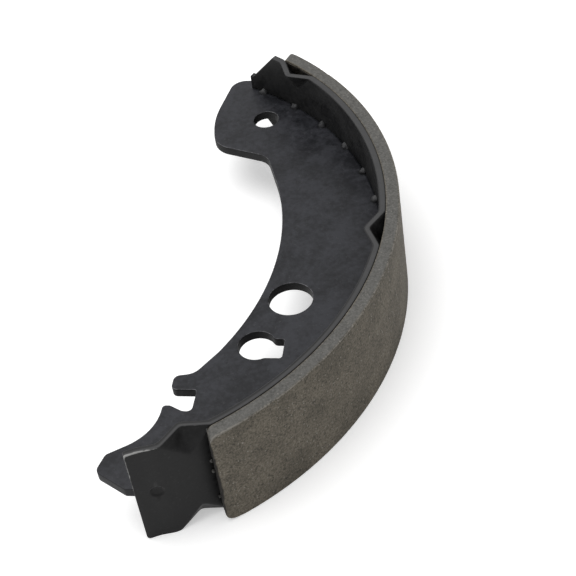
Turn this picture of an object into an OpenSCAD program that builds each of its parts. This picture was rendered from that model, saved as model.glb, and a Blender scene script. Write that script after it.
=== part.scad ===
// Bonded brake shoe for an internal drum brake.
// A flat steel web is welded edge-on to a rolled steel table, and a friction lining
// is bonded to the outside of the table.
// Frame: the middle of the hold-down hole is the origin, the web's mid plane is z = 0,
// and +X points from the drum's axis to the middle of the lining. The shoe lies on its
// side. Every shape is drawn about the drum's axis and then moved, and every angle and
// place below is measured from that axis.

/* [Lining] */
// Inside diameter of the drum that the lining's face fits
drum_d = 203; // [202:0.5:204]
// Thickness of the friction lining
lining_t = 4; // [3.6:0.1:4.4]
// Width of the lining along the drum's axis
lining_w = 34.4; // [33:0.2:35]
// Angle that the lining covers
lining_arc = 107.6; // [104:0.2:108]
// How far the end faces of the lining lean out from a radial line
lining_lean = 14; // [0:1:20]
// Bevel along both long edges of the lining's face
lining_bevel = 0.5; // [0.3:0.1:1.5]
// Radius of the lining's corners
lining_corner_r = 2.4; // [1:0.2:4]
// Thickness of the adhesive under the lining
bond_t = 0.15; // [0.1:0.05:0.3]
// How far the adhesive stays in from the lining's long sides
bond_inset = 0.6; // [0.2:0.1:1.2]

/* [Table] */
// Width of the table
table_w = 34.6; // [34.4:0.2:36]
// Sheet thickness of the table
table_t = 2; // [1.6:0.1:2.2]
// Angle from the middle of the lining to the lower tip
low_tip_a = 66.5; // [65:0.5:67]
// Angle from the middle of the lining to the corners of the upper end
high_corner_a = 55.6; // [55:0.1:56]
// Angle from the middle of the lining to the upper tip
high_tip_a = 62.2; // [61.5:0.1:62.4]
// Width of the upper tip, between its slanted corners
high_tip_w = 12.6; // [10:0.2:14]
// Radius of the lower tip's corners
tip_r = 1.4; // [0.5:0.1:3]

/* [Edge dents] */
// Depth that the table's edges are pressed in
dent_d = 4.1; // [3:0.1:4.6]
// Length of a dent along the edge
dent_l = 14; // [12:0.2:16]
// How far a dent's crease runs in from the edge
dent_run = 7.2; // [5:0.2:9]

/* [Punch mark] */
// Diameter of the round mark near the lower tip
punch_d = 3.4; // [2.4:0.2:5]
// Depth of the mark
punch_depth = 0.3; // [0.15:0.05:0.5]

/* [Web] */
// Sheet thickness of the web
web_t = 3; // [2.5:0.1:4]
// Diameter of the pivot hole in the upper end
pivot_d = 8; // [7:0.1:10]
// Diameter of the hold-down hole
hold_d = 13; // [11:0.5:14]
// Diameter of the round part of the keyhole
key_d = 10.8; // [10.6:0.1:11.4]
// Width of the keyhole's neck
key_neck_w = 7.2; // [5:0.1:7.4]
// Length of the keyhole's neck, from the middle of its round part
key_neck_l = 7.7; // [7:0.1:9]
// Depth of the strut notch
notch_depth = 7.4; // [6:0.2:8]

/* [Joining] */
// Radius of the weld nuggets between web and table
nugget_r = 1.5; // [1:0.1:2]
// Angle between weld nuggets
nugget_step = 8.5; // [7:0.5:10]
// Radius of the largest bead of adhesive at the lining's ends
bead_r = 1.1; // [0.8:0.1:1.3]

/* [Hidden] */
$fn = 96;

lining_r = drum_d / 2;
bond_r = lining_r - lining_t;
table_r = bond_r - bond_t;
table_in = table_r - table_t;
table_h = table_w / 2;
web_h = web_t / 2;
lining_a = lining_arc / 2;
eps = 0.5;

// Middle of each dent, as an angle from the middle of the lining
dent_a = [-56.8, -1.8, 49.6];

// Place of the punch mark, as an angle and a height
punch_a = -63.2;
punch_z = 0.8;

// Places on the web
pivot_at = [51.6, 67.1];
hold_at = [70.2, -15.8];
key_at = [62.9, -34.4];

// The keyhole's neck lies to one side of its middle
key_neck_y = -1.1;
key_neck_r = 0.9;
key_fillet = 1.8;

// The bow is the long inner edge of the web, an arc about a point beyond the drum's axis
bow_at = [-24, 7];
bow_r = 88;
bow_low_a = -30;
bow_high_a = 20;

// The notch that takes the strut, with a pointed horn below it and a blunt hook above it
notch_x = 48.4;
notch_low_y = -59.6;
notch_high_y = -51.4;
hook_x = 41;
hook_y = -46.2;
horn_x = 40.1;
horn_y = -57.1;

// The nose bears on the anchor, and the lobe holds the pivot hole
nose_x = 25.5;
nose_y = -86.5;
lobe_x = 35.2;
lobe_y = 88.3;
far = 120;

// The lobe reaches past the table's upper end, with a small gap between them
lobe_gap_a = 0.1;

// Length of the slant at the table's upper end, for each part of the width it takes off
high_slant = 0.92;

// Angles of the first and last weld nugget
nugget_high = 59;
nugget_low = -61;

function unit(v) = v / norm(v);
function xy(p) = [p[0], p[1]];
function about(c, r, a) = c + r * [cos(a), sin(a)];
function no_round(c, r, a) = concat(about(c, r, a), 0);

// Corner i of an outline of [x, y, radius] points, as the points of its arc
function rounded(p, i) =
    let (n = len(p), here = xy(p[i]), r = p[i][2])
    r == 0 ? [here] :
    let (u = unit(xy(p[(i + n - 1) % n]) - here),
         v = unit(xy(p[(i + 1) % n]) - here),
         half = acos(u * v) / 2,
         centre = here + unit(u + v) * r / sin(half),
         from = here + u * r / tan(half) - centre,
         to = here + v * r / tan(half) - centre,
         a0 = atan2(from.y, from.x),
         turn = (atan2(to.y, to.x) - a0 + 540) % 360 - 180,
         steps = ceil(max(abs(turn) / 8, abs(turn) * r / 90)))
    [for (k = [0:steps]) about(centre, r, a0 + turn * k / steps)];

function outline(p) = [for (i = [0:len(p) - 1]) each rounded(p, i)];

// Inner side of the web, from the nose up to the lobe, as [x, y, corner radius]
web_side = concat(
    [[far, nose_y, 0],
     [nose_x + 9.4, nose_y, 1.5],
     [nose_x, -80.8, 2.4],
     [nose_x + 1.7, -74.9, 2.6],
     [horn_x, -67, 15.6],
     [horn_x, horn_y, 1.1],
     [horn_x + 2, horn_y, 1.6],
     [notch_x - 2.6, notch_low_y, 3],
     [notch_x, notch_low_y, 1.5],
     [notch_x, notch_high_y, 0.8],
     [notch_x - notch_depth, notch_high_y, 1.7],
     [hook_x, hook_y, 2],
     [46.6, -45.2, 5]],
    [for (a = [bow_low_a:2:bow_high_a]) no_round(bow_at, bow_r, a)],
    [[54.6, 48.4, 6],
     [lobe_x + 0.2, 54.6, 8],
     [lobe_x - 1, 68.5, 50],
     [lobe_x + 3.2, lobe_y, 5],
     [lobe_x + 9.4, lobe_y, 2],
     [lobe_x + 13.4, lobe_y - 6.1, 0],
     [far, lobe_y - 6.1, 0]]);

// Moves a shape from the drum's axis so that the hold-down hole is at the origin
module placed() {
    translate([-hold_at[0], -hold_at[1], 0]) children();
}

// Turns a shape from the end of +X to an angle around the drum's axis
module at_angle(a) {
    rotate([0, 0, a]) children();
}

// Stands a flat outline of [along the arc, along the axis] up, facing outward at radius r
module facing_out(r, height) {
    translate([r - height / 2, 0, 0])
        rotate([90, 0, 90])
            linear_extrude(height) children();
}

// Part of a ring about the drum's axis, from a radius, width and two angles
module ring(r_in, r_out, w, a0, a1) {
    rotate([0, 0, a0])
        rotate_extrude(angle = a1 - a0)
            translate([r_in, -w / 2])
                square([r_out - r_in, w]);
}

module both_sides() {
    children();
    mirror([0, 0, 1]) children();
}

module both_ends() {
    children();
    mirror([0, 1, 0]) children();
}

// Wedge of one dent at radius r: two facets that meet in a crease, deepest at the edge.
// It stands out by lift above the radius and by over past the table's edge.
module dent_wedge(r, lift, over) {
    grow = 1 + lift / dent_d;
    wide = dent_l / 2 * (grow + over / dent_run);
    translate([r, 0, table_h])
        polyhedron(
            points = [[-dent_d * (1 + over / dent_run), 0, over],
                      [lift, -wide, over],
                      [lift, wide, over],
                      [lift, 0, -dent_run * grow]],
            faces = [[0, 2, 1], [0, 1, 3], [0, 3, 2], [1, 2, 3]]);
}

module dents(r, lift, over) {
    for (a = dent_a)
        at_angle(a) both_sides() dent_wedge(r, lift, over);
}

// The table's upper end narrows at a slant to its tip, which covers the web
module upper_corner_cut() {
    rise = (table_w - high_tip_w) / 2;
    run = high_slant * rise;
    at_angle(high_corner_a)
        facing_out(table_r, 4 * table_t)
            polygon([[-high_slant * eps, table_h + eps],
                     [run, table_h - rise], [2 * run, table_h - rise],
                     [2 * run, table_h + eps]]);
}

// Rounds the upper corner of an end at +X, on a shape of half width h and corner radius r.
// The arc runs out past both edges at a slight slope.
module corner_cut(h, r) {
    out = 1.1 * r;
    over = 0.03 * r;
    facing_out(lining_r, 4 * lining_t)
        polygon(concat([[out, h + over], [out, h + eps], [-eps, h + eps],
                        [-eps, h - out], [-over, h - out]],
                       [for (a = [170:-10:100]) about([r, h - r], r, a)]));
}

// Ball that presses the round mark into the table's outer face
module punch() {
    ball_r = (pow(punch_d / 2, 2) + pow(punch_depth, 2)) / (2 * punch_depth);
    at_angle(punch_a)
        translate([table_r - punch_depth + ball_r, 0, punch_z])
            sphere(ball_r);
}

// The sheet is rolled and dented a little too wide, then trimmed to its width
module table_body() {
    spare = 1;
    difference() {
        union() {
            ring(table_in, table_r, table_w + 2 * spare, -low_tip_a, high_tip_a);
            dents(table_in, table_t / 2, 2 * spare);
        }
        dents(table_r, 1, 3 * spare);
        punch();
        both_sides() {
            translate([0, 0, table_h]) cylinder(r = far, h = 4 * spare);
            upper_corner_cut();
            at_angle(-low_tip_a) corner_cut(table_h, tip_r);
        }
    }
}

// Outline of the keyhole: its round part, and its neck with blended corners
key_side = let (r = key_d / 2,
                low = key_neck_y - key_neck_w / 2,
                high = key_neck_y + key_neck_w / 2,
                low_a = asin(low / r),
                high_a = asin(high / r),
                skip = 18)
    concat(
        [[r * cos(low_a), low, key_fillet],
         [key_neck_l, low, key_neck_r],
         [key_neck_l, high, key_neck_r],
         [r * cos(high_a), high, key_fillet]],
        [for (a = [high_a + skip:8:low_a + 360 - skip / 2]) no_round([0, 0], r, a)]);

// Room for the web: inside the table, and past the table's upper end
module web_room() {
    past = high_tip_a + lobe_gap_a;
    circle(table_in, $fn = 360);
    polygon([[0, 0], about([0, 0], 2 * far, past), about([0, 0], 2 * far, past + 40)]);
}

module web_body() {
    difference() {
        linear_extrude(web_t, center = true)
            difference() {
                intersection() {
                    web_room();
                    polygon(outline(web_side));
                }
                translate(key_at) polygon(outline(key_side));
            }
        translate(pivot_at) cylinder(h = 2 * web_t, d = pivot_d, center = true);
        translate(hold_at) cylinder(h = 2 * web_t, d = hold_d, center = true);
    }
}

// Section of the lining, with its bevels along the face
module lining_section() {
    half = lining_w / 2;
    polygon([[bond_r, -half], [lining_r - lining_bevel, -half],
             [lining_r, lining_bevel - half], [lining_r, half - lining_bevel],
             [lining_r - lining_bevel, half], [bond_r, half]]);
}

// Cuts the lower end of the lining so that its face reaches further than its bonded side
module lining_end_cut() {
    at_angle(-lining_a)
        translate([bond_r, 0, 0])
            rotate([0, 0, -lining_lean])
                translate([-2 * lining_t, -3 * lining_t, -table_w])
                    cube([4 * lining_t, 3 * lining_t, 2 * table_w]);
}

module lining_corner_cut() {
    at_angle(-lining_a)
        translate([0, -lining_t * tan(lining_lean), 0])
            corner_cut(lining_w / 2, lining_corner_r);
}

module lining_body() {
    over = 2;
    difference() {
        rotate([0, 0, -lining_a - over])
            rotate_extrude(angle = lining_arc + 2 * over)
                lining_section();
        both_ends() {
            lining_end_cut();
            both_sides() lining_corner_cut();
        }
    }
}

// Ball-shaped bead in a corner: the part of a sphere between two planes that meet on Z,
// one along +X and the other at the given angle from it
module corner_bead(r, angle) {
    rotate_extrude(angle = angle, $fn = 48)
        intersection() {
            circle(r, $fn = 32);
            translate([0, -r]) square([r, 2 * r]);
        }
}

// Beads pressed out at an end of the lining, as [place along the axis, share of the full size]
beads = [[-13.2, 0.55], [-9.3, 0.8], [-5.9, 0.6], [-1.4, 0.5], [1.8, 1], [6.1, 0.75], [11.6, 0.5]];

module end_beads() {
    at_angle(-lining_a)
        translate([table_r, -bond_t * tan(lining_lean), 0])
            for (b = beads)
                translate([0, 0, b[0]])
                    rotate([0, 0, -90]) corner_bead(bead_r * b[1], 90 - lining_lean);
}

module web() {
    color([0.20, 0.20, 0.23]) placed() web_body();
}

module table() {
    color([0.17, 0.17, 0.18]) placed() table_body();
}

module lining() {
    color([0.47, 0.44, 0.40]) placed() lining_body();
}

module adhesive() {
    color([0.10, 0.09, 0.08]) placed() {
        ring(table_r, bond_r, lining_w - 2 * bond_inset, -lining_a, lining_a);
        both_ends() end_beads();
    }
}

// Nuggets of weld metal in the corners between web and table
module weld_nuggets() {
    clear = table_in - sqrt(pow(table_in, 2) - pow(nugget_r, 2));
    color([0.30, 0.30, 0.32]) placed()
        for (a = [nugget_high:-nugget_step:nugget_low])
            at_angle(a)
                both_sides()
                    translate([table_in - clear, 0, web_h])
                        rotate([-90, 180, 0]) corner_bead(nugget_r, 90);
}

web();
table();
lining();
adhesive();
weld_nuggets();
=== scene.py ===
import bmesh
import bpy
import numpy as np
from mathutils import Matrix, Vector
from mathutils.geometry import tessellate_polygon


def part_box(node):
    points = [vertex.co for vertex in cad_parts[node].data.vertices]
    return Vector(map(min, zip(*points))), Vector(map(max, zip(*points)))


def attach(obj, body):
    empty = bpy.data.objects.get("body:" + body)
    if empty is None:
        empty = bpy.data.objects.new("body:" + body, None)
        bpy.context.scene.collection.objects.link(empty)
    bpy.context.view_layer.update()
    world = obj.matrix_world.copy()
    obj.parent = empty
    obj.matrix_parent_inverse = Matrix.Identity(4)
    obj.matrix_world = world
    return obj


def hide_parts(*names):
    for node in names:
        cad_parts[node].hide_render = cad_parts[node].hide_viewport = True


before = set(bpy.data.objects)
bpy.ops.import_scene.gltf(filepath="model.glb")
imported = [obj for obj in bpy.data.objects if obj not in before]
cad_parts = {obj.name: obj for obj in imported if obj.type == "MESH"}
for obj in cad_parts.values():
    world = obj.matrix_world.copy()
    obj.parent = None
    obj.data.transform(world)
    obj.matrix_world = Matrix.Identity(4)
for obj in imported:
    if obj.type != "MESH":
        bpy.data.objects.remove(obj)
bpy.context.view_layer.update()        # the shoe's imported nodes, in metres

scene = bpy.context.scene

# Shapes are worked out in millimetres about the drum's axis, as angle, radius and height along the axis
drumAxis = np.array([-70.2, 15.8, 0.0])
toMetres = 0.001


def axisBox(box):
    # A node's box in millimetres from the drum's axis
    return [np.array(corner) * 1000 - drumAxis for corner in box]


liningBox = axisBox(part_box("lining"))
tableBox = axisBox(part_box("table"))
webBox = axisBox(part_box("web"))
drumRadius = liningBox[1][0]  # the lining's ground face
tableOuter = tableBox[1][0]
tableInner = webBox[1][0]  # the web ends at the table's inner face


# Helpers for every piece

noiseCount = 4096  # random numbers that a lattice draws on
hashFactors = np.array([73856093, 19349663, 83492791])


def unit(value):
    # Cut off below 0 and above 1
    return np.clip(value, 0, 1)


def latticeNoise(points, cell, seed):
    # Random numbers on a lattice of cubes, blended by a smooth step along x, y and z, from -1 to 1
    numbers = np.random.default_rng(seed).uniform(-1, 1, noiseCount)
    place = points / cell
    base = np.floor(place).astype(np.int64)
    part = place - base
    part = part * part * (3 - 2 * part)
    total = np.zeros(points.shape[:-1])
    for corner in np.ndindex(2, 2, 2):
        step = np.array(corner)
        x, y, z = np.moveaxis((base + step) * hashFactors, -1, 0)
        weight = np.prod(np.where(step == 1, part, 1 - part), axis=-1)
        total += numbers[(x ^ y ^ z) % noiseCount] * weight
    return total


def loopFaces(rows, columns, first=0):
    # Quads between each ring of points and the next, every ring closed on itself
    here = np.arange(rows * columns).reshape(rows, columns) + first
    side = np.roll(here, -1, axis=1)
    quads = np.stack([here[:-1], side[:-1], side[1:], here[1:]], axis=-1)
    return quads.reshape(-1, 4).tolist()


def tubeFaces(rows, columns, first=0):
    # The same, with a face across the first ring and one across the last
    faces = loopFaces(rows, columns, first)
    faces.append(list(range(first, first + columns))[::-1])
    faces.append(list(range(first + (rows - 1) * columns, first + rows * columns)))
    return faces


def newObject(name, data):
    made = bpy.data.objects.new(name, data)
    scene.collection.objects.link(made)
    return made


def addPiece(name, points, faces, node, material, values, flatFaces=0):
    # Makes the object in metres, with its faces turned outwards and a value at each point for each label.
    # The last flatFaces faces are shaded flat, and the rest smooth.
    mesh = bpy.data.meshes.new(name)
    mesh.from_pydata(((points + drumAxis) * toMetres).reshape(-1, 3).tolist(), [], faces)
    mesh.polygons.foreach_set("use_smooth", np.arange(len(faces)) < len(faces) - flatFaces)
    for label, value in values.items():
        layer = mesh.attributes.new(label, "FLOAT", "POINT")
        spread = np.broadcast_to(value, points.shape[:-1]).ravel()
        layer.data.foreach_set("value", spread.astype(np.float32))
    bm = bmesh.new()
    bm.from_mesh(mesh)
    bmesh.ops.recalc_face_normals(bm, faces=bm.faces)
    bm.to_mesh(mesh)
    bm.free()
    mesh.materials.append(material)
    piece = newObject(name, mesh)
    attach(piece, "root")
    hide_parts(node)
    print(name, len(mesh.vertices), "points", len(faces), "faces")


def sectionLoop(thick, half, topRound, lowRound, shares, cornerSteps=5, sideSteps=5):
    # Closed section at each station: the outer face, a rounded corner, the side, the inner face and back,
    # as height along the axis, depth below the outer face and distance from an outer edge
    half = half[:, None]
    turn = np.linspace(0, np.pi / 2, cornerSteps + 1)[None]
    rise = np.linspace(0, 1, sideSteps + 1)[None, 1:-1]
    top = shares[None] * (half - topRound)
    bottom = -shares[None] * (half - lowRound)
    side = np.concatenate([half - topRound + topRound * np.sin(turn[:, 1:]), half + 0 * rise,
                           half - lowRound + lowRound * np.cos(turn[:, :-1])], axis=1)
    inwards = np.concatenate([topRound * (1 - np.cos(turn[:, 1:])),
                              topRound + (thick - topRound - lowRound) * rise,
                              thick - lowRound + lowRound * np.sin(turn[:, :-1])], axis=1) + 0 * half
    height = np.concatenate([top, side, bottom, -side[:, ::-1]], axis=1)
    depth = np.concatenate([0 * top, inwards, 0 * bottom + thick, inwards[:, ::-1]], axis=1)
    cornerIn = topRound * 0.3  # the rounded corner's middle lies this far in
    away = np.hypot(half - cornerIn - np.abs(height), depth - cornerIn)
    return height, depth, away


def endInset(away, radius):
    # How far a quarter circle of this radius draws the section in, at a distance from the end
    left = np.clip(radius - away, 0, radius)
    return radius - np.sqrt(radius ** 2 - left ** 2)


def endStations(reach, radius, count, lastInset, roundSteps=5, faceRings=6):
    # Distances from an end that grow by their square, then rings across the end face with growing inset
    away = np.unique(np.concatenate([reach * np.linspace(0, 1, count) ** 2,
                                     radius * (1 - np.sin(np.linspace(0, np.pi / 2, roundSteps)))]))
    inset = endInset(away, radius)
    rings = np.linspace(radius, lastInset, faceRings)[1:]
    return np.concatenate([0 * rings, away]), np.concatenate([rings[::-1], inset])


def stripPoints(angle, radius, height):
    # x and y are the radius times the cosine and sine of the angle
    return np.stack([radius * np.cos(angle), radius * np.sin(angle), height], axis=-1)


def joinEnds(low, high, away, inset, body):
    # Stations at both ends and between them, and how far each section is drawn in
    stations = np.concatenate([low + away, body, (high - away)[::-1]])
    return stations, np.concatenate([inset, 0 * body, inset[::-1]])


def drawIn(height, depth, half, thick, inset):
    # Shrinks each section towards its middle line by the inset
    inset = inset[:, None]
    return height * (1 - inset / half[:, None]), thick / 2 + (depth - thick / 2) * (1 - 2 * inset / thick)


# Helpers for materials

def feed(tree, socket, value):
    # Sets a socket to a number or a colour, or links it
    if isinstance(value, (int, float)):
        socket.default_value = float(value)
    elif isinstance(value, tuple):
        socket.default_value = (*value, 1)
    else:
        tree.links.new(value, socket)


def addNode(tree, kind, **values):
    # A node with each value in its socket or setting of that name
    made = tree.nodes.new(kind)
    for label, value in values.items():
        if label in made.inputs:
            feed(tree, made.inputs[label], value)
        else:
            setattr(made, label, value)
    return made


def mathNode(tree, operation, *values):
    made = addNode(tree, "ShaderNodeMath", operation=operation)
    for socket, value in zip(made.inputs, values):
        feed(tree, socket, value)
    return made.outputs[0]


def times(tree, first, second):
    return mathNode(tree, "MULTIPLY", first, second)


def timesAdd(tree, first, second, third):
    # The first times the second, plus the third
    return mathNode(tree, "MULTIPLY_ADD", first, second, third)


def mixColour(tree, share, first, second, blend="MIX"):
    made = addNode(tree, "ShaderNodeMix", data_type="RGBA", blend_type=blend)
    for place, value in ((0, share), (6, first), (7, second)):
        feed(tree, made.inputs[place], value)
    return made.outputs[2]


def layColour(tree, mask, share, under, over):
    # Lays a colour over another where the mask is, up to the share
    return mixColour(tree, times(tree, mask, share), under, over)


def rampNode(tree, value, low, high, smooth=True):
    # 0 below low, 1 above high
    kind = "SMOOTHSTEP" if smooth else "LINEAR"
    ends = {"From Min": low, "From Max": high}
    made = addNode(tree, "ShaderNodeMapRange", interpolation_type=kind, Value=value, **ends)
    return made.outputs["Result"]


def noiseNode(tree, vector, size, detail=2.0, rough=0.5):
    # size is that of one lump, in metres
    made = addNode(tree, "ShaderNodeTexNoise", Vector=vector, Scale=1 / size, Detail=detail, Roughness=rough)
    return made.outputs["Fac"]


def maskNode(tree, label):
    return addNode(tree, "ShaderNodeAttribute", attribute_name=label).outputs["Fac"]


def startMaterial(name):
    material = bpy.data.materials.new(name)
    material.use_nodes = True
    tree = material.node_tree
    shader = tree.nodes["Principled BSDF"]
    place = tree.nodes.new("ShaderNodeTexCoord").outputs["Object"]
    return material, tree, shader, place


def finishMaterial(tree, shader, colour, rough, height, values):
    # Joins colour, roughness and bumps to the shader
    bump = addNode(tree, "ShaderNodeBump", Height=height, Strength=values["bump"])
    feed(tree, bump.inputs["Distance"], values["bumpHeight"])
    feed(tree, shader.inputs["Base Color"], colour)
    feed(tree, shader.inputs["Roughness"], rough)
    feed(tree, shader.inputs["Specular IOR Level"], values["specular"])
    feed(tree, shader.inputs["Normal"], bump.outputs["Normal"])


def newGroup(name, inputs, outputs):
    # A socket named Vector is one, and every other socket is a number
    group = bpy.data.node_groups.new(name, "ShaderNodeTree")
    for way, labels in (("INPUT", inputs), ("OUTPUT", outputs)):
        for label in labels:
            kind = "NodeSocketVector" if label == "Vector" else "NodeSocketFloat"
            group.interface.new_socket(label, in_out=way, socket_type=kind)
    return group, group.nodes.new("NodeGroupInput"), group.nodes.new("NodeGroupOutput")


# Paint on the steel

skinSizes = {
    "blotch": 0.008,  # sizes of the paint's lumps, in metres
    "speckle": 0.0018,
    "clouds": 0.026,
    "dust": 0.0011,
    "ragged": 0.0016,
    "peel": 0.0008,
    "dents": 0.006,
}


def makeSkinGroup():
    # Satin paint on rolled steel: soft blotches, fine dust, worn edges that are also painted highlights, and
    # orange peel
    group, start, end = newGroup("paintSkin", ["Vector", "Edge"], ["Blotch", "Dust", "WearAndHighlight", "Height"])
    vector = start.outputs["Vector"]
    blotch = noiseNode(group, vector, skinSizes["blotch"], detail=3, rough=0.6)
    speckle = noiseNode(group, vector, skinSizes["speckle"], detail=4, rough=0.65)
    clouds = noiseNode(group, vector, skinSizes["clouds"])
    mottle = timesAdd(group, blotch, 0.4, times(group, clouds, 0.25))
    mottle = timesAdd(group, speckle, 0.35, mottle)
    group.links.new(mottle, end.inputs["Blotch"])
    dust = noiseNode(group, vector, skinSizes["dust"], detail=4, rough=0.7)
    group.links.new(rampNode(group, dust, 0.56, 0.78), end.inputs["Dust"])
    ragged = noiseNode(group, vector, skinSizes["ragged"], detail=4, rough=0.65)
    wearAndHighlight = rampNode(group, times(group, start.outputs["Edge"], ragged), 0.3, 0.62)
    group.links.new(wearAndHighlight, end.inputs["WearAndHighlight"])
    peel = noiseNode(group, vector, skinSizes["peel"])
    dents = noiseNode(group, vector, skinSizes["dents"])
    height = mathNode(group, "ADD", times(group, peel, 0.5), dents)
    group.links.new(height, end.inputs["Height"])
    return group


skinGroup = makeSkinGroup()

# Weld nuggets stand in a row along the corner between web and table, both sides, with painted shade round
# each
nuggets = {
    "high": 59.0,  # degrees from the middle of the lining
    "low": -61.0,
    "step": 8.5,
    "radius": 1.35,
    "stretch": (1.0, 1.1, 0.95),  # outwards, along the arc and along the axis
    "fromTable": 0.15,  # a nugget's middle from the table's inner face
    "fromWeb": 0.05,  # and from the web's face
    "rough": 0.3,
    "weldShadeFrom": 1.2,  # the dark ring fades out between these distances
    "weldShadeTo": 2.6,
    "weldShadeLump": 1.2,  # size of the ring's unevenness
}


def makeWeldShadeGroup():
    # Painted shade in a ring round each weld nugget: the distance from the nearest one, out of the angle
    # about the drum's axis, the radius and the height
    group, start, end = newGroup("weldPaintedShade", ["Vector"], ["Mask"])
    parts = addNode(group, "ShaderNodeSeparateXYZ", Vector=start.outputs["Vector"])
    x = mathNode(group, "SUBTRACT", parts.outputs[0], drumAxis[0] * toMetres)
    y = mathNode(group, "SUBTRACT", parts.outputs[1], drumAxis[1] * toMetres)
    radius = mathNode(group, "SQRT", mathNode(group, "ADD", times(group, x, x), times(group, y, y)))
    angle = mathNode(group, "ARCTAN2", y, x)
    step = float(np.radians(nuggets["step"]))
    fromFirst = mathNode(group, "SUBTRACT", angle, float(np.radians(nuggets["high"])))
    turns = mathNode(group, "DIVIDE", fromFirst, step)
    beside = mathNode(group, "SUBTRACT", turns, mathNode(group, "ROUND", turns))
    along = times(group, beside, step * tableInner * toMetres)
    outward = mathNode(group, "SUBTRACT", radius, tableInner * toMetres)
    height = mathNode(group, "ABSOLUTE", parts.outputs[2])
    height = mathNode(group, "SUBTRACT", height, webBox[1][2] * toMetres)
    square = timesAdd(group, outward, outward, times(group, along, along))
    square = timesAdd(group, height, height, square)
    wobble = noiseNode(group, start.outputs["Vector"], nuggets["weldShadeLump"] * toMetres, detail=3)
    away = times(group, mathNode(group, "SQRT", square), mathNode(group, "ADD", wobble, 0.5))
    fade = rampNode(group, away, nuggets["weldShadeFrom"] * toMetres, nuggets["weldShadeTo"] * toMetres)
    group.links.new(mathNode(group, "SUBTRACT", 1.0, fade), end.inputs["Mask"])
    return group


weldShadeGroup = makeWeldShadeGroup()

# What every paint here shares
paintCoat = {
    "paintedShadeColour": (0.0035, 0.0035, 0.0036),  # colour of the painted shade round the weld nuggets and inside the punch mark
    "pitShadeShare": 0.9,
    "dustRough": 0.12,
    "cutRough": 0.2,
    "bump": 0.35,
    "bumpHeight": 0.00006,
}


def makePaint(name, values):
    # Mottled paint, then cut edges, painted shade round weld nuggets and in the punch mark, dust and worn
    # edges laid over it
    # The cut colour also stands for painted shade on the web's walls and a painted highlight on the table's
    # edges, and the worn edges carry painted highlights too
    values = {**paintCoat, **values}
    material, tree, shader, place = startMaterial(name)
    edge = maskNode(tree, "edge")
    skin = addNode(tree, "ShaderNodeGroup", node_tree=skinGroup, Vector=place, Edge=edge)
    # Painted shade round the weld nuggets
    weldShade = addNode(tree, "ShaderNodeGroup", node_tree=weldShadeGroup, Vector=place)
    cut = maskNode(tree, "cut")
    even = rampNode(tree, skin.outputs["Blotch"], 0.38, 0.62)
    colour = mixColour(tree, even, values["dark"], values["light"])
    colour = mixColour(tree, cut, colour, values["cut"])
    paintedShadeColour = mathNode(tree, "MAXIMUM", times(tree, weldShade.outputs["Mask"], values["weldShade"]),
                    times(tree, maskNode(tree, "pitShade"), values["pitShadeShare"]))
    colour = mixColour(tree, paintedShadeColour, colour, values["paintedShadeColour"])
    colour = layColour(tree, skin.outputs["Dust"], values["dustShare"], colour, values["dust"])
    colour = layColour(tree, skin.outputs["WearAndHighlight"], values["wearAndHighlightShare"], colour, values["wearAndHighlight"])
    rough = timesAdd(tree, even, values["roughSpread"], values["rough"])
    rough = timesAdd(tree, skin.outputs["Dust"], values["dustRough"], rough)
    rough = timesAdd(tree, cut, values["cutRough"], rough)
    finishMaterial(tree, shader, colour, rough, skin.outputs["Height"], values)
    return material


webPaint = makePaint("webPaint", {
    "dark": (0.0056, 0.0059, 0.0079),
    "light": (0.0245, 0.0253, 0.0305),
    "dust": (0.075, 0.075, 0.079),
    "dustShare": 0.32,
    # The cut colour is painted shade on the walls, and the worn colour is also a painted highlight along the
    # rims
    "cut": (0.0045, 0.0045, 0.0048),
    "weldShade": 0.75,
    "wearAndHighlight": (0.24, 0.24, 0.252),
    "wearAndHighlightShare": 0.75,
    "rough": 0.38,
    "roughSpread": 0.12,
    "specular": 0.24,
})
tablePaint = makePaint("tablePaint", {
    "dark": (0.0012, 0.0012, 0.0013),
    "light": (0.0108, 0.0108, 0.0111),
    "dust": (0.042, 0.042, 0.042),
    "dustShare": 0.42,
    # The cut edge's colour is bare steel, lighter also as a painted highlight where the edge faces up
    "cut": (0.058, 0.058, 0.059),
    "weldShade": 0.6,
    "wearAndHighlight": (0.3, 0.3, 0.294),
    "wearAndHighlightShare": 0.85,
    "rough": 0.42,
    "roughSpread": 0.2,
    "specular": 0.18,
})
nuggetPaint = makePaint("nuggetPaint", {
    "dark": (0.012, 0.012, 0.013),
    "light": (0.027, 0.027, 0.029),
    "dust": (0.09, 0.09, 0.09),
    "dustShare": 0.4,
    "cut": (0.03, 0.03, 0.03),
    "weldShade": 0.0,
    "wearAndHighlight": (0.1, 0.1, 0.102),
    "wearAndHighlightShare": 0.5,
    "rough": 0.45,
    "roughSpread": 0.15,
    "specular": 0.26,
})


# Friction compound

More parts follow.
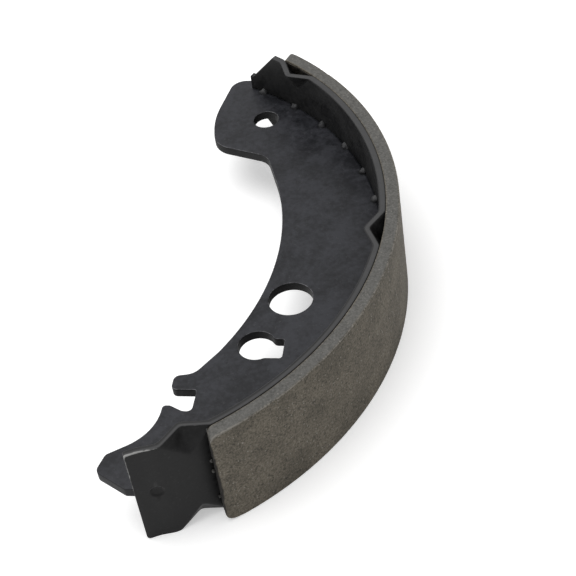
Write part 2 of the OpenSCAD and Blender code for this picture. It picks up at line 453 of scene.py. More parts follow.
def makeFriction(values):
    # Ground friction compound: fine grain, dark pores, pale flecks, a greyer cut side and a pale broken edge
    material, tree, shader, place = startMaterial("frictionCompound")
    side = maskNode(tree, "side")
    clouds = noiseNode(tree, place, values["cloudSize"], detail=3)
    patches = noiseNode(tree, place, values["patchSize"], detail=3, rough=0.6)
    grain = noiseNode(tree, place, values["grainSize"], detail=3, rough=0.7)
    colour = mixColour(tree, rampNode(tree, clouds, 0.3, 0.7), values["dark"], values["light"])
    colour = layColour(tree, rampNode(tree, patches, 0.5, 0.7), values["patchShare"], colour, values["pore"])
    colour = layColour(tree, side, values["sideShare"], colour, values["side"])
    # The grain makes the colour lighter and darker, less so on the cut side
    coarse = timesAdd(tree, patches, 0.35, mathNode(tree, "SUBTRACT", grain, 0.175))
    coarse = mathNode(tree, "SUBTRACT", rampNode(tree, coarse, 0.25, 0.75, False), 0.5)
    swing = timesAdd(tree, side, -values["sideCalm"] * values["contrast"], values["contrast"])
    tone = timesAdd(tree, coarse, swing, 1.0)
    shade = addNode(tree, "ShaderNodeCombineColor", Red=tone, Green=tone, Blue=tone)
    colour = mixColour(tree, 1.0, colour, shade.outputs[0], "MULTIPLY")
    # Flecks and pores: cells of a fine uneven mosaic, picked by each cell's random number and shown near
    # its middle
    wobble = addNode(tree, "ShaderNodeTexNoise", Vector=place, Scale=1 / values["wobbleSize"], Detail=1.0)
    shifted = addNode(tree, "ShaderNodeVectorMath", operation="MULTIPLY_ADD")
    tree.links.new(wobble.outputs["Color"], shifted.inputs[0])
    shifted.inputs[1].default_value = (values["wobbleSize"],) * 3
    tree.links.new(place, shifted.inputs[2])
    cells = addNode(tree, "ShaderNodeTexVoronoi", Vector=shifted.outputs[0], Scale=1 / values["fleckSize"])
    chance = addNode(tree, "ShaderNodeSeparateColor", Color=cells.outputs["Color"])
    middle = mathNode(tree, "SUBTRACT", 1.0, rampNode(tree, cells.outputs["Distance"], 0.12, 0.4))
    density = timesAdd(tree, noiseNode(tree, place, values["densitySize"]), 0.3, 0.64)
    picked = mathNode(tree, "GREATER_THAN", chance.outputs[0], density)
    fleck = times(tree, picked, middle)
    strong = timesAdd(tree, chance.outputs[1], 0.65, 0.05)
    strong = times(tree, strong, timesAdd(tree, side, -values["sideCalm"], 1.0))
    colour = layColour(tree, fleck, strong, colour, values["fleck"])
    hollow = mathNode(tree, "LESS_THAN", chance.outputs[0], values["poreChance"])
    pore = times(tree, times(tree, hollow, middle), timesAdd(tree, side, -0.6, 1.0))
    colour = layColour(tree, pore, values["poreShare"], colour, values["pore"])
    ragged = noiseNode(tree, place, values["brokenSize"], detail=4, rough=0.7)
    broken = times(tree, maskNode(tree, "edge"), ragged)
    colour = layColour(tree, rampNode(tree, broken, 0.28, 0.6), values["edgeShare"], colour, values["edge"])
    # The end faces and a band of the face along each end take the dark end colour: partly adhesive, partly
    # painted shade
    colour = layColour(tree, maskNode(tree, "endFace"), values["endShare"], colour, values["endFace"])
    stainAndShade = times(tree, maskNode(tree, "stainAndShade"), mathNode(tree, "ADD", patches, 0.4))
    colour = mixColour(tree, rampNode(tree, stainAndShade, 0.1, 0.8), colour, values["endFace"])
    rough = timesAdd(tree, fleck, values["fleckRough"], values["rough"])
    height = timesAdd(tree, pore, -0.8, timesAdd(tree, grain, 1.2, patches))
    finishMaterial(tree, shader, colour, rough, height, values)
    return material


friction = makeFriction({
    "dark": (0.083, 0.0735, 0.0565),
    "light": (0.13, 0.1145, 0.089),
    "contrast": 1.5,
    "cloudSize": 0.012,  # sizes of lumps, in metres
    "patchSize": 0.0024,
    "grainSize": 0.0006,
    "fleckSize": 0.00075,
    "wobbleSize": 0.0005,
    "densitySize": 0.006,
    "brokenSize": 0.0012,
    "patchShare": 0.3,
    "pore": (0.036, 0.031, 0.025),
    "poreChance": 0.11,
    "poreShare": 0.42,
    "fleck": (0.32, 0.295, 0.26),
    "fleckRough": -0.25,
    "side": (0.096, 0.0955, 0.0915),
    "sideShare": 0.85,
    "sideCalm": 0.45,  # how much of the grain and the flecks the cut side loses
    "edge": (0.2, 0.19, 0.172),
    "edgeShare": 0.7,
    # Dark colour of the ends: partly adhesive, partly painted shade
    "endFace": (0.0075, 0.006, 0.0045),
    "endShare": 0.93,
    "rough": 0.82,
    "specular": 0.35,
    "bump": 0.5,
    "bumpHeight": 0.00012,
})


# Adhesive

def makeGlue(values):
    # Mottled dark adhesive, paler where it was pressed out
    material, tree, shader, place = startMaterial("curedAdhesive")
    mottle = rampNode(tree, noiseNode(tree, place, values["mottleSize"], detail=3), 0.35, 0.7)
    colour = mixColour(tree, mottle, values["dark"], values["light"])
    colour = mixColour(tree, maskNode(tree, "pale"), colour, values["pale"])
    rough = timesAdd(tree, mottle, values["roughSpread"], values["rough"])
    grain = noiseNode(tree, place, values["grainSize"], detail=3)
    finishMaterial(tree, shader, colour, rough, grain, values)
    return material


glue = makeGlue({
    "dark": (0.007, 0.006, 0.005),
    "light": (0.019, 0.0165, 0.0135),
    "pale": (0.1, 0.098, 0.094),
    "mottleSize": 0.0016,
    "grainSize": 0.0007,
    "rough": 0.35,
    "roughSpread": 0.2,
    "specular": 0.5,
    "bump": 0.4,
    "bumpHeight": 0.0001,
})
print("materials made")


# Table: a rolled strip with dented edges

table = {
    "thick": tableOuter - tableInner,
    "half": tableBox[1][2],
    "lowTip": -66.7,  # degrees from the middle of the lining
    "highTip": 62.2,
    "highCorner": 55.6,  # from here the strip narrows to the upper tip
    "slant": 0.92,  # length of the slant per width taken off
    "highHalf": 6.3,
    "tipRound": 1.2,
    "upperTipRound": 0.8,
    "outerRound": 0.1,
    "innerRound": 0.4,
    "endRound": 0.22,
    "dents": ((-56.8, 0.8, 0.9), (-1.8, 0.6, 1.1), (49.1, 0.25, 0.8)),  # angle, outer and inner crease
    "dentDepth": 4.1,
    "dentHalf": 7.0,  # half of a dent's length at the edge
    "dentRun": 7.2,  # its reach in from the edge
    "fade": 0.04,
    "lipHalf": 6.5,  # lip of the dents along the lower edge
    "lipRun": 1.5,
    "lipDrop": 0.45,
    "punchAngle": -63.2,
    "punchHeight": 0.8,
    "punchRadius": 2.0,
    "punchDepth": 0.42,
    "bendFrom": 9.0,  # the lower tip bends inwards over this length
    "bendRun": 6.0,
    "bendDepth": 0.9,
    "bareDepth": 1.15,  # bare part of the thickness at the lower end
    "coatFrom": 60.8,  # the edge keeps its paint beyond this angle
    "coatShare": 0.85,
    "wornRun": 10.5,  # the lower tip's upper side is worn over this length
    "wornFade": 7.0,
    "edgeWear": 0.62,  # paint lost at all edges, and more at each of these; at the lip and the punch mark's rim it is a painted highlight
    "sideWear": 0.9,
    "tipWear": 1.15,
    "lipHighlight": 0.75,
    "punchRimHighlight": 0.55,
    "endReach": 3.0,  # stations are closer over this much of both ends
    "endCount": 16,
    "clear": 3.1,  # the others stay this far off
    "dentSpan": (5.2, 96),  # closer stations: degrees to both sides, and their number
    "cornerSpan": (0.4, 11),
    "punchSpan": (1.3, 24),
    "step": 0.7,  # degrees between the other stations
    "leastStep": 0.0006,  # radians
}


def dentDepth(angle, height, half, inner):
    # Two facets that meet in a rounded crease, deepest at the edge and gone at the end of the crease
    total = 0 * height
    for middle, creaseOut, creaseIn in table["dents"]:
        crease = creaseIn if inner else creaseOut
        along = (angle - np.radians(middle)) * tableOuter
        share = 1 + crease * 0.4 / table["dentHalf"]
        share = share - np.sqrt(along ** 2 + crease ** 2) / table["dentHalf"]
        share = share - (half - np.abs(height)) / table["dentRun"]
        total = total + 0.5 * (share + np.sqrt(share ** 2 + table["fade"] ** 2))
    return table["dentDepth"] * total


def tableHalf(angle, tipRound):
    # Half width along the arc: full, then narrowing at a slant to the upper tip, and rounded at the lower
    past = tableOuter * np.sin(unit(angle - np.radians(table["highCorner"])))
    width = np.clip(table["half"] - past / table["slant"], table["highHalf"], table["half"])
    low = tableOuter * (angle - np.radians(table["lowTip"]))
    return width - endInset(low, tipRound)


def tableStations():
    # Angles from tip to tip, closer at the tips, the dents, the upper corner and the punch mark
    low, high = np.radians([table["lowTip"], table["highTip"]])
    away, inset = endStations(table["endReach"], table["endRound"], table["endCount"], 0.48 * table["thick"])
    close = [(dent[0], *table["dentSpan"]) for dent in table["dents"]]
    close += [(table["highCorner"], *table["cornerSpan"]), (table["punchAngle"], *table["punchSpan"])]
    body = [np.linspace(middle - span, middle + span, count) for middle, span, count in close]
    body.append(np.arange(table["lowTip"] + 2.2, table["highTip"] - 2.0, table["step"]))
    body = np.sort(np.radians(np.concatenate(body)))
    clear = table["clear"] / tableOuter
    body = body[(body > low + clear) & (body < high - clear)]
    body = body[np.concatenate([[True], np.diff(body) > table["leastStep"]])]
    return joinEnds(low, high, away / tableOuter, inset, body)


def tableShares():
    # Places across the strip as shares of its half width, closer over the dents and the punch mark
    edgeZone = 1 - np.linspace(0, 0.47, 26)
    markZone = (table["punchHeight"] + np.linspace(-2.1, 2.1, 22)) / table["half"]
    between = [-0.35, -0.2, 0.3, 0.42]
    return np.unique(np.round(np.concatenate([-edgeZone, edgeZone, markZone, between]), 5))


def buildTable():
    # Both faces are arcs about the drum's axis. The dents come off both radii, the lip and the punch mark
    # off the outer one, and the bend of the lower tip, a smooth step along it, off the whole section.
    thick = table["thick"]
    angle, inset = tableStations()
    half = tableHalf(angle, table["tipRound"])
    upperHalf = tableHalf(angle, table["upperTipRound"])
    height, depth, away = sectionLoop(thick, half, table["outerRound"], table["innerRound"], tableShares())
    height, depth = drawIn(height, depth, half, thick, inset)
    height = np.where(height > 0, height * (upperHalf / half)[:, None], height)
    turn = angle[:, None] + 0 * height
    wide = half[:, None]
    onFace = depth < 0.01
    outer = tableOuter - dentDepth(turn, height, wide, False)
    inner = tableInner - dentDepth(turn, height, wide, True)
    # The lower edge is drawn over into a lip where it is dented
    middles = [np.radians(dent[0]) for dent in table["dents"]]
    dented = sum(np.exp(-((turn - middle) * tableOuter / table["lipHalf"]) ** 4) for middle in middles)
    dented = dented * (height < 0)
    fromEdge = wide - np.abs(height)
    outer = outer - table["lipDrop"] * dented * unit(1 - fromEdge / table["lipRun"]) ** 2
    along = (turn - np.radians(table["punchAngle"])) * tableOuter
    spot = np.hypot(along, height - table["punchHeight"]) / table["punchRadius"]
    outer = outer - table["punchDepth"] * unit(1.5 - 1.5 * spot ** 4) * onFace
    fromTip = (turn - np.radians(table["lowTip"])) * tableOuter
    bend = unit((table["bendFrom"] - fromTip) / table["bendRun"])
    radius = outer + (inner - outer) * depth / thick
    radius = radius - table["bendDepth"] * bend * bend * (3 - 2 * bend)
    points = stripPoints(turn, radius, height)
    # The cut edge is bare through its whole thickness at the upper end, and over half of it at the lower;
    # its lighter colour is also a painted highlight where it faces up
    bare = table["bareDepth"] + (thick - table["bareDepth"]) * unit(np.degrees(turn) / 70 + 0.7)
    coated = 1 - table["coatShare"] * unit((np.degrees(turn) - table["coatFrom"]) / 0.4)
    cut = unit(depth / 0.2) * unit((thick - depth) / 0.2)
    cut = cut * np.clip((bare - depth) / 0.3, 0.3, 1) * coated
    # Paint is lost along the edges, most at the lower tip: on its upper side and down its end
    flank = unit((height - upperHalf[:, None] + 0.3) / 0.2)
    upper = flank * unit((0.75 - depth) / 0.4) * unit((table["wornRun"] - fromTip) / table["wornFade"])
    down = np.exp(-np.hypot(fromTip, depth) / 0.45) * unit(0.92 + 0.2 * height / wide)
    down = down * unit((height + 2) / 3)
    # Painted highlight where the dented lower edge turns over into its lip
    lip = dented * onFace * np.exp(-((fromEdge - table["lipRun"]) / 0.35) ** 2)
    # Painted highlight round the punch mark's rim
    rim = onFace * np.exp(-((spot - 1.08) / 0.09) ** 2)
    edge = table["edgeWear"] * np.exp(-away / 0.35) * coated + table["sideWear"] * upper
    edge = edge + table["tipWear"] * down + table["lipHighlight"] * lip + table["punchRimHighlight"] * rim
    # Painted shade inside the punch mark
    pitShade = unit(1.9 - 1.6 * spot) * onFace
    addPiece("tableStrip", points, tubeFaces(*turn.shape), "table", tablePaint,
             {"edge": np.clip(edge, 0, 1.5), "cut": cut, "pitShade": pitShade}, flatFaces=2)


buildTable()


# Lining: a curved block of friction compound with worn corners and edges

lining = {
    "thick": 4.0,
    "half": liningBox[1][2],
    "reach": 53.8,  # degrees to each end, at the bonded side
    "lean": 14.0,  # degrees by which the ends lean out
    "cornerRound": 2.4,
    "edgeRound": 0.14,
    "lowRound": 0.08,
    "endRound": 0.45,
    "skew": 0.4,  # the lower end draws back towards the upper side
    "skewFade": 6.0,
    "wornRun": 6.5,  # the lower end's lower corner is worn off over this length
    "wornDepth": 1.1,
    "chipDepth": 0.8,
    "slowChips": (7.0, 3),  # cell and seed of each noise
    "quickChips": (1.7, 4),
    "tinyChips": (0.7, 5),
    "sawn": (1.1, 6),
    "fineSawn": (0.55, 7),
    "ground": (2.2, 8),
    "rimRun": 9.0,  # the upper edge is paler over this much of the lower end
    "step": 0.42,  # millimetres between stations
    "endReach": 3.2,  # and closer over this much of both ends
    "endCount": 18,
    "lowClear": 3.4,
    "highClear": 3.3,
}


def liningStations(reach):
    # Places along the block as shares of its reach, closer at the ends
    last = 0.47 * lining["thick"]
    away, inset = endStations(lining["endReach"], lining["endRound"], lining["endCount"], last)
    body = np.arange(-reach + lining["lowClear"] / drumRadius, reach - lining["highClear"] / drumRadius,
                     lining["step"] / drumRadius)
    return joinEnds(-1, 1, away / (drumRadius * reach), inset, body / reach)


def buildLining():
    # The block is a section carried round the drum's axis. The angle grows with the share of the reach and
    # with the lean of the ends, and chips and saw marks come off the radius, the height and the angle.
    thick = lining["thick"]
    reach = np.radians(lining["reach"])
    lean = np.tan(np.radians(lining["lean"]))
    share, inset = liningStations(reach)
    end = (1 - np.abs(share)) * drumRadius * reach
    half = lining["half"] - endInset(end, lining["cornerRound"])
    edgeZone = 1 - 0.22 * np.linspace(0, 1, 16) ** 1.5
    shares = np.unique(np.round(np.concatenate([-edgeZone, edgeZone, np.linspace(-0.75, 0.75, 16)]), 5))
    height, faceDepth, away = sectionLoop(thick, half, lining["edgeRound"], lining["lowRound"], shares,
                                          cornerSteps=4, sideSteps=9)
    height, depth = drawIn(height, faceDepth, half, thick, inset)
    worn = lining["wornDepth"] * unit(1 - end / lining["wornRun"]) ** 2 * (share < 0)
    height = np.where(height < 0, height * (1 - worn / half)[:, None], height)
    radius = drumRadius - depth
    turn = share[:, None] * (reach + (thick - depth) * lean / radius)
    back = lining["skew"] * (0.5 + 0.5 * height / lining["half"])
    turn = turn + (share < 0)[:, None] * back * np.exp(-end / lining["skewFade"])[:, None] / drumRadius
    points = stripPoints(turn, radius, height)
    # Chips: parts of the long edges where a slow and a quick noise are both high are pushed in
    slow = latticeNoise(points, *lining["slowChips"])
    quick = latticeNoise(points, *lining["quickChips"])
    tiny = latticeNoise(points, *lining["tinyChips"])
    upper = height > 0
    chip = unit(0.55 * slow + 0.6 * quick + 0.25 * tiny - np.where(upper, 0.5, 0.6))
    push = np.exp(-(away / 0.85) ** 2) * (0.55 * chip + 0.03 * unit(tiny))
    radius = radius - push * lining["chipDepth"]
    height = height - np.sign(height) * push * lining["chipDepth"]
    # The sides and ends are cut and rough, and the face is ground
    sides = unit(faceDepth / 0.6) * unit((thick - faceDepth) / 0.4)
    rough = 0.05 * latticeNoise(points, *lining["sawn"]) + 0.03 * latticeNoise(points, *lining["fineSawn"])
    rough = unit(0.01 + rough)
    height = height - np.sign(height) * sides * rough
    closeEnd = np.exp(-end / 0.25)[:, None]
    turn = turn - np.sign(turn) * closeEnd * rough / drumRadius
    radius = radius - 0.03 * unit(latticeNoise(points, *lining["ground"])) * (faceDepth < 0.01)
    points = stripPoints(turn, radius, height)
    # Masks for the material: end face, cut side, broken edge, and a dark band along the ends, partly
    # adhesive smeared there and partly painted shade
    endFace = unit(inset / (lining["endRound"] * 1.2))[:, None] + 0 * height
    side = sides * (1 - endFace)
    fromEnd = end[:, None] + 0 * height
    edge = np.exp(-away / 0.5) * np.where(upper, 1.0, 0.7) + 0.8 * chip * np.exp(-away / 1.2)
    edge = edge * (1 + 0.9 * np.exp(-(fromEnd / lining["rimRun"]) ** 2) * (turn < 0) * upper)
    reachIn = 0.85 * unit(1 - (height / 17) ** 2) + 0.3 * quick
    stainAndShade = np.clip((reachIn - fromEnd) / 0.7 + 0.3, 0, 1.4)
    addPiece("liningBlock", points, tubeFaces(*turn.shape), "lining", friction,
             {"side": side, "edge": np.clip(edge, 0, 1.5), "endFace": endFace, "stainAndShade": stainAndShade}, flatFaces=2)


buildLining()


# Adhesive: the film under the lining, and what was pressed out at its ends

film = {
    "half": lining["half"] - 0.6,
    "edgeRound": 0.03,
    "past": 0.06,  # reach past the lining's ends
    "drawnBack": 0.15,  # but behind the skewed lower end
    "wavy": 0.25,  # unevenness along the sides
    "ragged": 0.1,  # and at the ends
    "stations": 260,
    "lowBeads": ((-10.5, 0.5), (0.3, 0.65), (4.4, 0.6)),  # height along the axis and size
    "highBeads": ((-9.3, 0.7), (-5.9, 0.6), (1.8, 0.8), (6.1, 0.65), (11.6, 0.5)),
    "beadStretch": (0.8, 0.95, 1.1),  # outwards, along the arc and along the axis
    "beadRough": 0.35,
    "beadPale": 0.15,
}


def buildFilm():
    # A thin section carried round the drum's axis, with noise on its half width and on its ends' angle
    bonded = drumRadius - lining["thick"]
    thick = bonded - tableOuter
    reach = np.radians(lining["reach"]) + film["past"] / tableOuter
    share = np.linspace(-1, 1, film["stations"])
    along = np.stack([share * 95, 0 * share, 0 * share], axis=-1)
    half = film["half"] + film["wavy"] * latticeNoise(along, 3.0, 11)
    height, depth, _ = sectionLoop(thick, half, film["edgeRound"], film["edgeRound"], np.linspace(-1, 1, 40),
                                   cornerSteps=2, sideSteps=2)
    across = np.stack([height, np.sign(share)[:, None] * 9 + 0 * height, 0 * height], axis=-1)
    ragged = film["ragged"] * latticeNoise(across, 3.0, 12)
    turn = share[:, None] * (reach + ragged / tableOuter)
    back = lining["skew"] * (0.5 + 0.5 * height / film["half"]) + film["drawnBack"]
    turn = np.where(share[:, None] < -0.99, turn + back / tableOuter, turn)
    points = stripPoints(turn, bonded - depth, height)
    addPiece("adhesiveFilm", points, tubeFaces(*turn.shape), "adhesive", glue,
             {"pale": 0.0}, flatFaces=2)


buildFilm()


def lumpGrid(rows, columns):
    # Directions over a whole ball, with a small ring at each pole
    polar = np.linspace(0.03, np.pi - 0.03, rows)[:, None]
    around = np.linspace(0, 2 * np.pi, columns, endpoint=False)[None]
    return np.stack([np.sin(polar) * np.cos(around), np.sin(polar) * np.sin(around),
                     np.cos(polar) + 0 * around], axis=-1)


def lumpPoints(lumps, stretch, rough, seed):
    # A ball at each angle, radius and height, stretched outwards, along the arc and along the axis, with
    # noise on its radius. It also gives how far each point looks along the axis, from -1 to 1.
    directions = lumpGrid(14, 22)
    rows, columns = directions.shape[:2]
    points = []
    faces = []
    for number, (angle, radius, height, size) in enumerate(lumps):
        swell = 1 + rough * latticeNoise(directions + 9 * number, 0.7, seed)
        ball = directions * swell[..., None] * (size * np.array(stretch))
        cos, sin = np.cos(angle), np.sin(angle)
        turned = np.stack([ball[..., 0] * cos - ball[..., 1] * sin,
                           ball[..., 0] * sin + ball[..., 1] * cos, ball[..., 2]], axis=-1)
        points.append((turned + np.array([radius * cos, radius * sin, height])).reshape(-1, 3))
        faces += tubeFaces(rows, columns, number * rows * columns)
    return np.concatenate(points), faces, np.tile(directions[..., 2].ravel(), len(lumps))


def buildBeads():
    # Lumps in the corner between the table and each end of the lining
    angle = np.radians(lining["reach"]) + 0.05 / tableOuter
    lumps = []
    for side, beads in ((-1, film["lowBeads"]), (1, film["highBeads"])):
        lumps += [(side * angle, tableOuter + 0.1, height, size) for height, size in beads]
    points, faces, _ = lumpPoints(lumps, film["beadStretch"], film["beadRough"], 21)
    addPiece("adhesiveBeads", points, faces, "adhesive", glue, {"pale": film["beadPale"]})


buildBeads()


# Weld nuggets in the corners between web and table

def buildNuggets():
    # Lumps at even angles along both corners, with a painted highlight on the side of their crowns away from
    # the web
    angles = np.radians(np.arange(nuggets["high"], nuggets["low"] - 0.1, -nuggets["step"]))
    radius = tableInner - nuggets["fromTable"]
    rise = webBox[1][2] + nuggets["fromWeb"]
    lumps = [(angle, radius, side * rise, nuggets["radius"]) for side in (-1, 1) for angle in angles]
    points, faces, up = lumpPoints(lumps, nuggets["stretch"], nuggets["rough"], 31)
    crown = 0.2 + 0.8 * unit(up * np.sign(points[:, 2]))
    addPiece("weldNuggets", points, faces, "weld_nuggets", nuggetPaint,
             {"edge": crown, "cut": 0.0, "pitShade": 0.0})


buildNuggets()


# Web: the flat plate that carries the holes, notch, nose and lobe

web = {
    "half": webBox[1][2],
    "rollOver": 0.3,  # rounding of the outline's upper edge
    "holeEdge": 0.3,  # and of the holes' upper edges
    "lowEdge": 0.2,  # rounding of the lower edges
    "flatRing": 0.15,
    "squareRing": 0.6,  # width of the first and last ring at the table
    "overlap": 0.02,  # how far the plate reaches into the table
    "pivot": (51.6, 67.1, 4.0),  # middle from the drum's axis, and radius
    "holdDown": (70.2, -15.8, 6.5),
    "keyhole": (62.9, -34.4, 5.4),
    "neckLow": -4.7,  # the keyhole's neck, from the hole's middle
    "neckHigh": 2.5,
    "neckEnd": 7.7,
    "neckRound": 0.9,
    "keyBlend": 1.8,
    "noseY": -86.5,
    "noseFrom": -77.5,  # below this the wall takes less painted shade, and its lower edge a painted highlight
    "lobeTop": (44.6, 88.3, 2),
    "lobeSlope": (4.0, -6.1),
    "lobeGap": 0.1,  # degrees past the table's upper end
    "bow": (-24.0, 7.0, 88.0),  # the inner edge's arc: middle, and radius
    "bowSpan": (-30, 20),  # degrees about its middle
    "outline": [  # corners from the nose to the hook, with their rounding
        (34.9, -86.5, 1.5), (25.5, -80.8, 2.4), (27.2, -74.9, 1.9), (39.7, -67, 15.6),
        (39.7, -57.1, 1.1), (41.9, -57.1, 1.6), (45.6, -59.1, 3), (48.2, -59.1, 1.5),
        (48.4, -51.4, 0.8), (41, -51.4, 1.7), (41, -46.2, 2), (46.6, -45.2, 5)],
    "upperOutline": [(54.6, 48.4, 6), (36.5, 54.4, 8), (33.9, 67.6, 35), (37.9, 88.3, 5)],
}
webJoin = tableInner + web["overlap"]


def unitVectors(vectors):
    # Each vector divided by its length
    return vectors / np.linalg.norm(vectors, axis=-1, keepdims=True)


def circlePoints(x, y, radius, turn):
    # The middle plus the radius times the cosine and sine of each angle
    return np.stack([x + radius * np.cos(turn), y + radius * np.sin(turn)], axis=-1)


def roundCorners(corners):
    # Each corner with a radius becomes an arc that touches both of its sides
    loop = []
    count = len(corners)
    for index, (x, y, radius) in enumerate(corners):
        here = np.array([x, y])
        if radius == 0:
            loop.append(here[None])
            continue
        back = unitVectors(np.array(corners[index - 1][:2]) - here)
        ahead = unitVectors(np.array(corners[(index + 1) % count][:2]) - here)
        halfTurn = np.arccos(np.clip(back @ ahead, -1, 1)) / 2
        centre = here + unitVectors(back + ahead) * radius / np.sin(halfTurn)
        start = here + back * radius / np.tan(halfTurn) - centre
        stop = here + ahead * radius / np.tan(halfTurn) - centre
        first = np.arctan2(start[1], start[0])
        turn = (np.arctan2(stop[1], stop[0]) - first + 3 * np.pi) % (2 * np.pi) - np.pi
        steps = int(max(6, np.ceil(abs(turn) / 0.09)))
        loop.append(circlePoints(centre[0], centre[1], radius, first + turn * np.linspace(0, 1, steps + 1)))
    return np.concatenate(loop)


def spreadPoints(loop, gap):
    # Extra points on long straight stretches, so that the rim bends evenly
    made = []
    for here, there in zip(loop, np.roll(loop, -1, axis=0)):
        count = max(1, int(np.linalg.norm(there - here) / gap))
        made.append(here + (there - here) * (np.arange(count) / count)[:, None])
    return np.concatenate(made)


def outlineLoop():
    # Rounded corners from the nose along the inner edge to the lobe, then the arc against the table
    x, y, radius = web["bow"]
    bowFrom, bowTo = web["bowSpan"]
    bend = np.radians(np.arange(bowFrom, bowTo + 0.01, 1.0))
    bow = [(*point, 0) for point in circlePoints(x, y, radius, bend)]
    lowEnd = (np.sqrt(webJoin ** 2 - web["noseY"] ** 2), web["noseY"], 0)
    low = np.arctan2(lowEnd[1], lowEnd[0])
    # The lobe's far side slopes to the line past the table's end, and follows that line to the corner
    high = np.radians(table["highTip"] + web["lobeGap"])
    lobeTop = web["lobeTop"]
    slope = web["lobeSlope"]
    share = lobeTop[0] * np.sin(high) - lobeTop[1] * np.cos(high)
    share = share / (slope[1] * np.cos(high) - slope[0] * np.sin(high))
    past = (lobeTop[0] + slope[0] * share, lobeTop[1] + slope[1] * share, 0)
    highEnd = (webJoin * np.cos(high), webJoin * np.sin(high), 0)
    inner = roundCorners([lowEnd] + web["outline"] + bow + web["upperOutline"] + [lobeTop, past, highEnd])
    arc = np.linspace(high, low, 260)[1:-1]
    return spreadPoints(np.concatenate([inner, circlePoints(0, 0, webJoin, arc)]), 1.5)


def holeLoop(name):
    # Even points on a whole circle
    return circlePoints(*web[name], np.linspace(0, 2 * np.pi, 96, endpoint=False))


def keyholeLoop():
    # A round hole with a neck to one side; the four corners of the neck are rounded, the rest is an arc
    x, y, radius = web["keyhole"]
    low, high = np.arcsin(np.array([web["neckLow"], web["neckHigh"]]) / radius)
    skip = np.radians(18)
    turn = np.arange(high + skip, low + 2 * np.pi - skip / 2, np.radians(4))
    corners = [(radius * np.cos(low), web["neckLow"], web["keyBlend"]),
               (web["neckEnd"], web["neckLow"], web["neckRound"]),
               (web["neckEnd"], web["neckHigh"], web["neckRound"]),
               (radius * np.cos(high), web["neckHigh"], web["keyBlend"])]
    corners += [(*point, 0) for point in circlePoints(0, 0, radius, turn)]
    return roundCorners(corners) + np.array([x, y])


def rimRings(loop, intoSteel, topRound, lowRound):
    # The edge of the sheet carried round a loop: a narrow flat ring, the rounded top corner, the wall,
    # the rounded low corner and a flat ring again
    turn = np.linspace(0, np.pi / 2, 6)
    step = web["flatRing"]
    draw = np.concatenate([[topRound + step], topRound * (1 - np.sin(turn)), [0, 0],
                           lowRound * (1 - np.cos(turn)), [lowRound + step]])
    high = web["half"]
    rise = np.concatenate([[high], high - topRound * (1 - np.cos(turn)), [high / 3, -high / 3],
                           -high + lowRound * (1 - np.sin(turn)), [-high]])
    flat = loop[None] + intoSteel[None] * draw[:, None, None]
    height = rise[:, None, None] + 0 * flat[..., :1]
    return np.concatenate([flat, height], axis=-1)


def squareAtTable(rings, loop, intoSteel):
    # Where the plate meets the table its edge is square: all rings but the first and last lie on the loop
    joined = np.abs(np.hypot(loop[:, 0], loop[:, 1]) - webJoin) < 0.01
    rings[:, joined, :2] = loop[joined]
    for row in (0, -1):
        rings[row, joined, :2] += intoSteel[joined] * web["squareRing"]


def rimMasks(rows, loop, isOutline):
    # Paint worn off the upper edge, less with each ring away, which is also a painted highlight along the
    # rim, and painted shade on the cut wall. The nose's wall takes less of that shade, and a painted
    # highlight along its lower edge.
    ring = np.arange(rows)[:, None]
    nose = unit((web["noseFrom"] - loop[:, 1]) / 1.5)[None] * isOutline
    wearAndHighlight = np.exp(-np.abs(ring - 3.0) / 1.8) * (1 - 0.7 * nose)
    wearAndHighlight = wearAndHighlight + 0.45 * nose * np.exp(-np.abs(ring - 11.0) / 1.8)
    wall = unit(1.6 - np.abs(ring - (rows - 1) / 2) / 4) * (1 - 0.3 * nose)
    return wearAndHighlight.ravel(), wall.ravel()


def steelSide(loop, isOutline):
    # Unit normals of a loop that point into the steel. The sign of its area tells which way round it runs.
    ahead = np.roll(loop, -1, axis=0)
    area = np.sum(loop[:, 0] * ahead[:, 1] - ahead[:, 0] * loop[:, 1])
    sign = np.sign(area) * (1 if isOutline else -1)
    along = unitVectors(ahead - np.roll(loop, 1, axis=0))
    return sign * np.stack([-along[:, 1], along[:, 0]], axis=-1)


def buildWeb():
    # Rings round the outline and each hole make the rims, and triangles between the first rings and between
    # the last rings make the two faces
    points = []
    faces = []
    masks = ([], [])  # worn edge with painted highlight, and cut wall with painted shade
    borders = ([], [])  # the first and the last ring of each loop
    indexes = ([], [])  # and the numbers of their points
    first = 0
    for loop in (outlineLoop(), holeLoop("pivot"), holeLoop("holdDown"), keyholeLoop()):
        isOutline = first == 0
        intoSteel = steelSide(loop, isOutline)
        topRound = web["rollOver"] if isOutline else web["holeEdge"]
        rings = rimRings(loop, intoSteel, topRound, web["lowEdge"])
        if isOutline:
            squareAtTable(rings, loop, intoSteel)
        rows, columns = rings.shape[:2]
        points.append(rings.reshape(-1, 3))
        faces += loopFaces(rows, columns, first)
        for mask, values in zip(masks, rimMasks(rows, loop, isOutline)):
            mask.append(values)
        for border, index, row in zip(borders, indexes, (0, rows - 1)):
            border.append([Vector(point) for point in rings[row]])
            index.append(np.arange(columns) + first + row * columns)
        first += rows * columns
    flats = []
    for border, index, order in zip(borders, indexes, (1, -1)):
        index = np.concatenate(index)
        flats += [[int(index[i]) for i in face][::order] for face in tessellate_polygon(border)]
    addPiece("webPlate", np.concatenate(points), faces + flats, "web", webPaint,
             {"edge": np.concatenate(masks[0]), "cut": np.concatenate(masks[1])}, flatFaces=len(flats))


buildWeb()


# Floor, light and camera

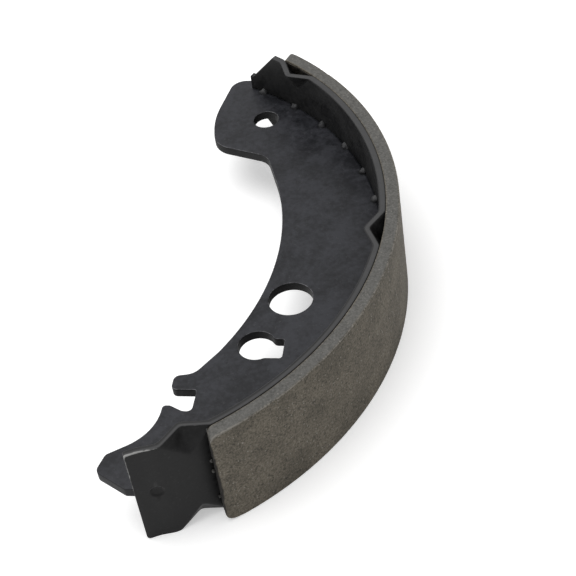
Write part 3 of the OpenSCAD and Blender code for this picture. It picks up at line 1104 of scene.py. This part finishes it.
studio = {
    "floorHeight": tableBox[0][2],
    "floorSize": 6.0,
    "floorColour": (0.86, 0.86, 0.86),
    "floorRough": 0.9,
    "floorSpecular": 0.1,
    "floorLift": 0.38,
    "worldLight": 0.55,
    "overheadPower": 17.0,
    "overheadSize": 1.6,
    "overheadAt": (-0.45, 0.0, 1.45),
}


def seenRays(tree):
    # 1 for what is seen directly, in a reflection or through glass
    path = tree.nodes.new("ShaderNodeLightPath")
    seen = mathNode(tree, "MAXIMUM", path.outputs["Is Camera Ray"], path.outputs["Is Glossy Ray"])
    return mathNode(tree, "MAXIMUM", seen, path.outputs["Is Transmission Ray"])


def buildFloor():
    # A square under the table's lower edge. Where it is seen it is lifted a little towards white, and it
    # keeps its shadow.
    half = studio["floorSize"] / 2
    corners = [(-half, -half), (half, -half), (half, half), (-half, half)]
    height = studio["floorHeight"] * toMetres
    mesh = bpy.data.meshes.new("floor")
    mesh.from_pydata([(x, y, height) for x, y in corners], [], [(0, 1, 2, 3)])
    material, tree, shader, _ = startMaterial("paleFloor")
    feed(tree, shader.inputs["Base Color"], studio["floorColour"])
    feed(tree, shader.inputs["Roughness"], studio["floorRough"])
    feed(tree, shader.inputs["Specular IOR Level"], studio["floorSpecular"])
    feed(tree, shader.inputs["Emission Color"], (1.0, 1.0, 1.0))
    lift = times(tree, seenRays(tree), studio["floorLift"])
    feed(tree, shader.inputs["Emission Strength"], lift)
    mesh.materials.append(material)
    floor = newObject("floor", mesh)


buildFloor()


def buildLight():
    # An even white world, at full strength only where it is seen, and a large round lamp overhead
    world = bpy.data.worlds.new("paleStudio")
    world.use_nodes = True
    tree = world.node_tree
    back = tree.nodes["Background"]
    feed(tree, back.inputs["Color"], (1.0, 1.0, 1.0))
    dim = studio["worldLight"]
    feed(tree, back.inputs["Strength"], timesAdd(tree, seenRays(tree), 1 - dim, dim))
    scene.world = world
    lamp = bpy.data.lights.new("overhead", "AREA")
    lamp.shape = "DISK"
    lamp.size = studio["overheadSize"]
    lamp.energy = studio["overheadPower"]
    holder = newObject("overhead", lamp)
    holder.location = studio["overheadAt"]
    aim = Vector((0.0, 0.0, 0.0)) - holder.location
    holder.rotation_mode = "QUATERNION"
    holder.rotation_quaternion = aim.to_track_quat("-Z", "Y")


buildLight()

photoCamera = {
    "lens": 100.397,
    "sensor": 36,
    "nearest": 0.01,
    "farthest": 50,
    "at": (150.580, -338.994, 324.356),  # millimetres from the drum's axis
    "right": (0.98458769, 0.12518106, -0.12213428),
    "forward": (-0.17488942, 0.70121655, -0.69116499),
}


def buildCamera():
    # Back is forward turned round, up is the cross product of back and right
    right = Vector(photoCamera["right"]).normalized()
    back = -Vector(photoCamera["forward"]).normalized()
    up = back.cross(right).normalized()
    right = up.cross(back)
    lens = bpy.data.cameras.new("photoCamera")
    lens.lens = photoCamera["lens"]
    lens.sensor_width = photoCamera["sensor"]
    lens.clip_start = photoCamera["nearest"]
    lens.clip_end = photoCamera["farthest"]
    holder = newObject("photoCamera", lens)
    turn = Matrix((right, up, back)).transposed().to_4x4()
    place = Vector((np.array(photoCamera["at"]) + drumAxis) * toMetres)
    holder.matrix_world = Matrix.Translation(place) @ turn
    scene.camera = holder


buildCamera()
scene.view_settings.view_transform = "Standard"
print("floor, light and camera made")
